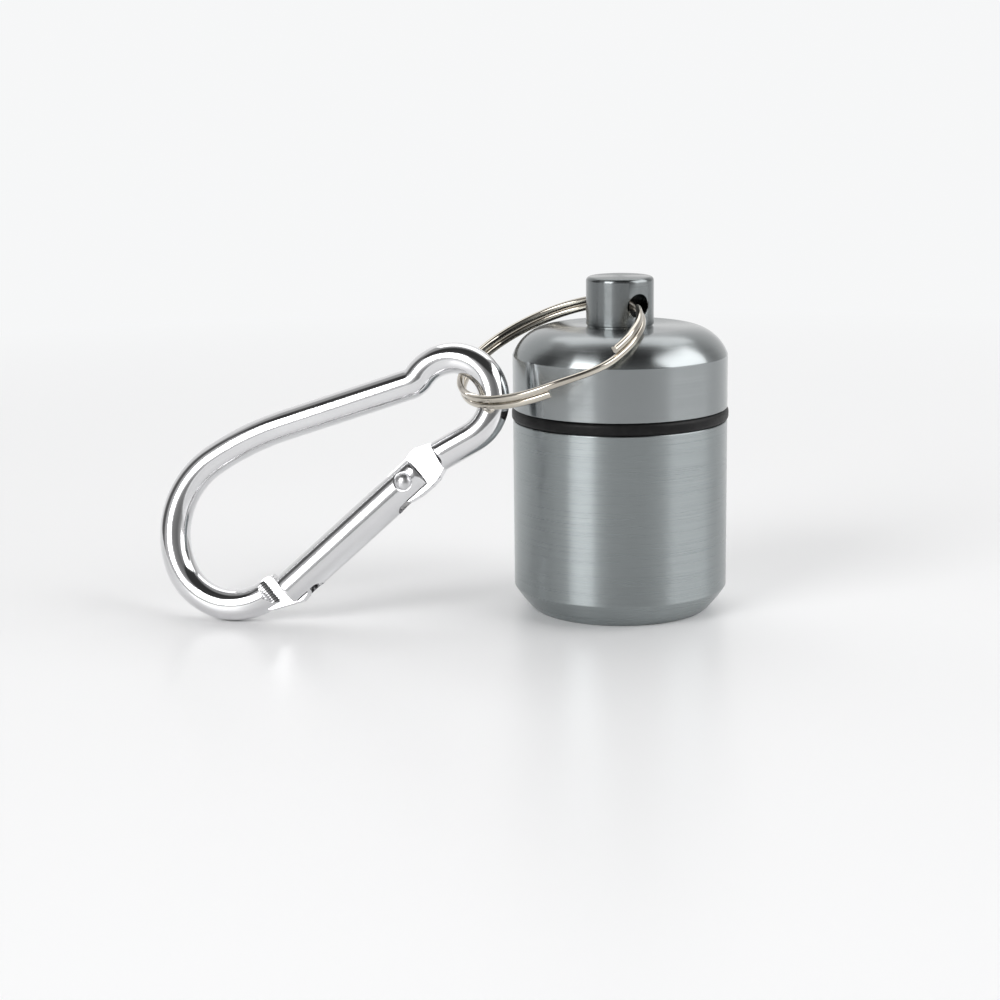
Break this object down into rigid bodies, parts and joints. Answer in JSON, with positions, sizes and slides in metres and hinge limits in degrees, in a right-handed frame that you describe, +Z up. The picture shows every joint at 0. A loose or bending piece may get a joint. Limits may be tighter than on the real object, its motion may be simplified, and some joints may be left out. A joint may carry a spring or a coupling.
{
  "type": "pill_fob_keychain",
  "caption": "Turned aluminium pill case with a screw cap and rubber seal, hung by a split ring from a small snap-gate carabiner.",
  "frame": {"origin": "The middle of the case's flat base, on the axis of the case.", "axes": "+Z runs up the case's axis to the knob, the carabiner lies towards -X, and the picture is taken from -Y."},
  "size_m": [0.0749, 0.0322, 0.0437],
  "materials": {
    "case_metal": "satin grey anodised, with fine lathe lines round the side",
    "cap_metal": "grey anodised, brighter than the case, with fine lathe lines",
    "seal_rubber": "satin black rubber",
    "ring_nickel": "bright nickel plate, slightly warm",
    "carabiner_metal": "polished bright",
    "gate_metal": "polished bright",
    "rivet_metal": "satin, peened by hand",
    "spring_steel": "drawn wire",
    "plunger_steel": "turned"
  },
  "bodies": {
    "case": {"case_body": "case_metal"},
    "seal": {"o_ring": "seal_rubber"},
    "cap": {"cap": "cap_metal"},
    "ring": {"split_ring": "ring_nickel"},
    "carabiner": {"carabiner_body": "carabiner_metal"},
    "gate": {"carabiner_gate": "gate_metal", "gate_rivet": "rivet_metal", "gate_spring": "spring_steel"},
    "plunger": {"spring_plunger": "plunger_steel"}
  },
  "joints": [
    {"name": "cap_lift", "type": "slide", "parent": "case", "child": "seal", "axis": [0, 0, 1], "range_m": [0, 0.007]},
    {"name": "cap_turn", "type": "hinge", "parent": "seal", "child": "cap", "pos_m": [0, 0, 0.0267], "axis": [0, 0, 1], "range_deg": [0, 2520]},
    {"name": "ring_swing", "type": "hinge", "parent": "cap", "child": "ring", "pos_m": [0, 0, 0.0402], "axis": [-0.5195, 0.8545, 0], "range_deg": [0, 231]},
    {"name": "carabiner_swing", "type": "hinge", "parent": "ring", "child": "carabiner", "pos_m": [-0.02056, -0.00506, 0.03022], "axis": [0.2394, 0.9258, -0.2924], "range_deg": [-20, 75]},
    {"name": "gate_open", "type": "hinge", "parent": "carabiner", "child": "gate", "pos_m": [-0.02776, -0.00701, 0.01815], "axis": [0.2394, 0.9258, -0.2924], "range_deg": [0, 32], "stiffness_Nm_per_rad": 0.02, "springref_deg": -17.19},
    {"name": "plunger_slide", "type": "slide", "parent": "gate", "child": "plunger", "axis": [-0.7451, -0.0178, -0.6667], "range_m": [0, 0.00095], "deforming": ["gate_spring"]}
  ],
  "couplings": [
    {"joint": "cap_lift", "follows": "cap_turn", "m_per_rad": 0.00015915},
    {"joint": "plunger_slide", "follows": "gate_open", "m_per_rad": 0.00163}
  ]
}
